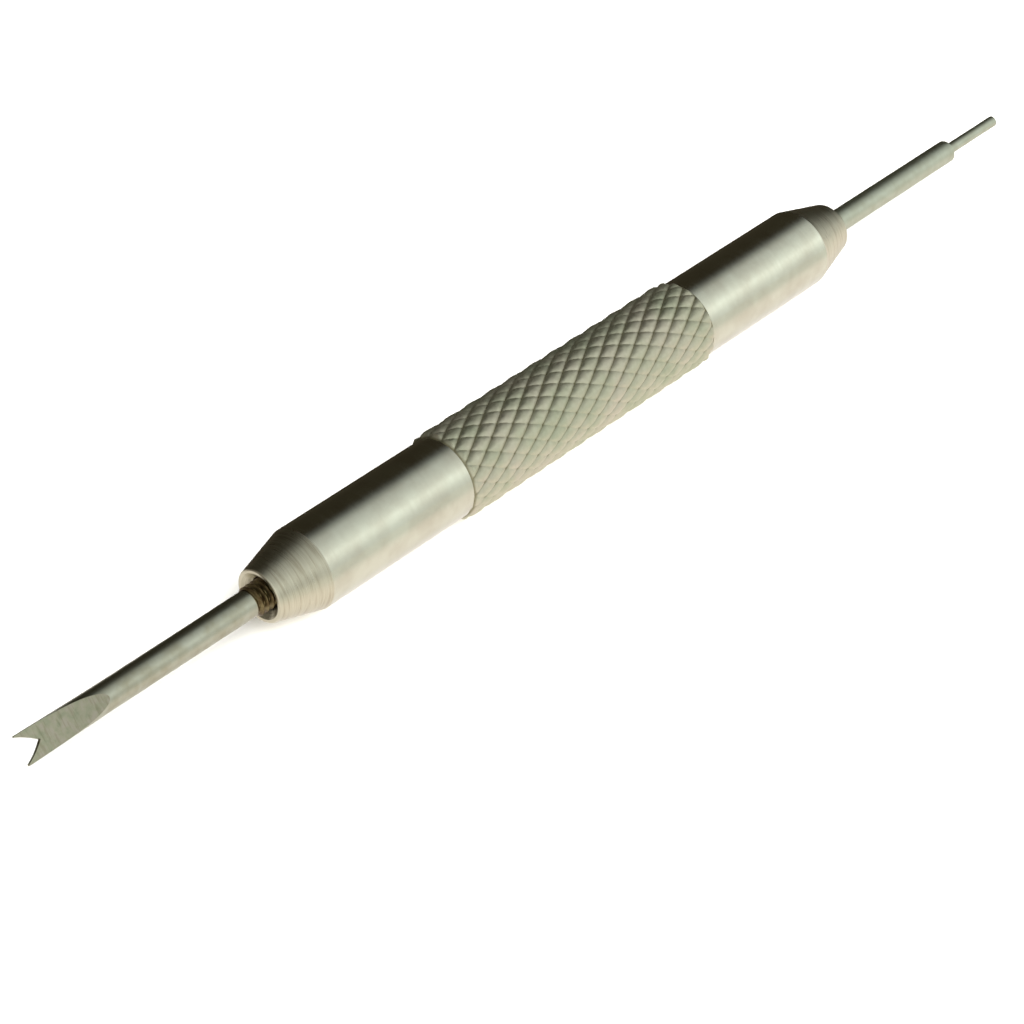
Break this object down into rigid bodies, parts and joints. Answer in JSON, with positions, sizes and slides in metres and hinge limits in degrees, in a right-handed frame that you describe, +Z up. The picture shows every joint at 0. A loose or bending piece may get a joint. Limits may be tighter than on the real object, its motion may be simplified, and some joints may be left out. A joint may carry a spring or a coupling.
{
  "type": "spring bar tool",
  "caption": "Slim turned hand tool with a knurled grip, a forked steel tip at one end and a stepped pin tip at the other, for fitting and freeing watch-strap spring bars.",
  "frame": {"origin": "middle of the knurled grip, on the tool's axis", "axes": "+X along the tool's axis towards the pin tip, +Z up from the surface the tool lies on; the fork's flats face 52 degrees from +Z towards -Y"},
  "size_m": [0.0898, 0.0058, 0.0058],
  "materials": {
    "handle_steel": "turned, diamond-knurled and nickel-plated, bright on the barrels and satin on the knurl",
    "fork_steel": "drawn steel rod, ground across its flats",
    "pin_steel": "drawn and turned steel rod"
  },
  "bodies": {
    "handle": {"handle": "handle_steel"},
    "fork_tip": {"fork_tip": "fork_steel"},
    "pin_tip": {"pin_tip": "pin_steel"}
  },
  "joints": [
    {"name": "fork_tip_out", "type": "slide", "parent": "handle", "child": "fork_tip", "axis": [-1, 0, 0], "range_m": [0, 0.008]},
    {"name": "pin_tip_out", "type": "slide", "parent": "handle", "child": "pin_tip", "axis": [1, 0, 0], "range_m": [0, 0.008]}
  ]
}
